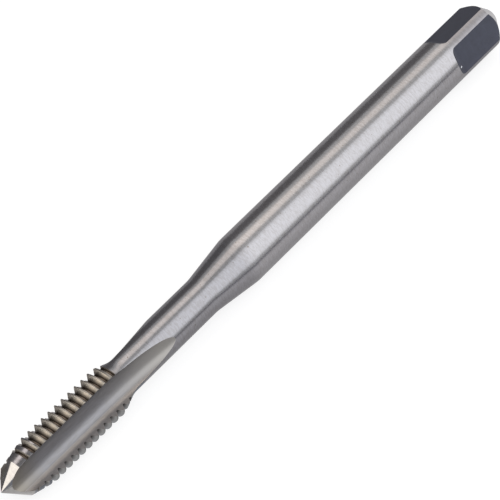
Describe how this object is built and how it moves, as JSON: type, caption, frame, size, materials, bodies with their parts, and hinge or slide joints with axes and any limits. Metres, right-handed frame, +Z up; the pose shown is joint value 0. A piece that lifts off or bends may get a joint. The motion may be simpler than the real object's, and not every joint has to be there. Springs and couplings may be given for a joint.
{
  "type": "thread tap",
  "caption": "Straight-fluted thread tap with a pointed tip, a tapered lead, a reduced neck, a plain round shank and a square drive end.",
  "frame": {"origin": "centre of the flat end face of the drive square, on the tap's axis", "axes": "+X along the tap's axis away from the point, so the point is at -X; +Z up as the tap lies on its shank; +Y follows by the right-hand rule"},
  "size_m": [0.0824, 0.006, 0.006],
  "materials": {
    "steel": "fine ground high-speed steel"
  },
  "bodies": {
    "root": {"tap": "steel"}
  },
  "joints": []
}
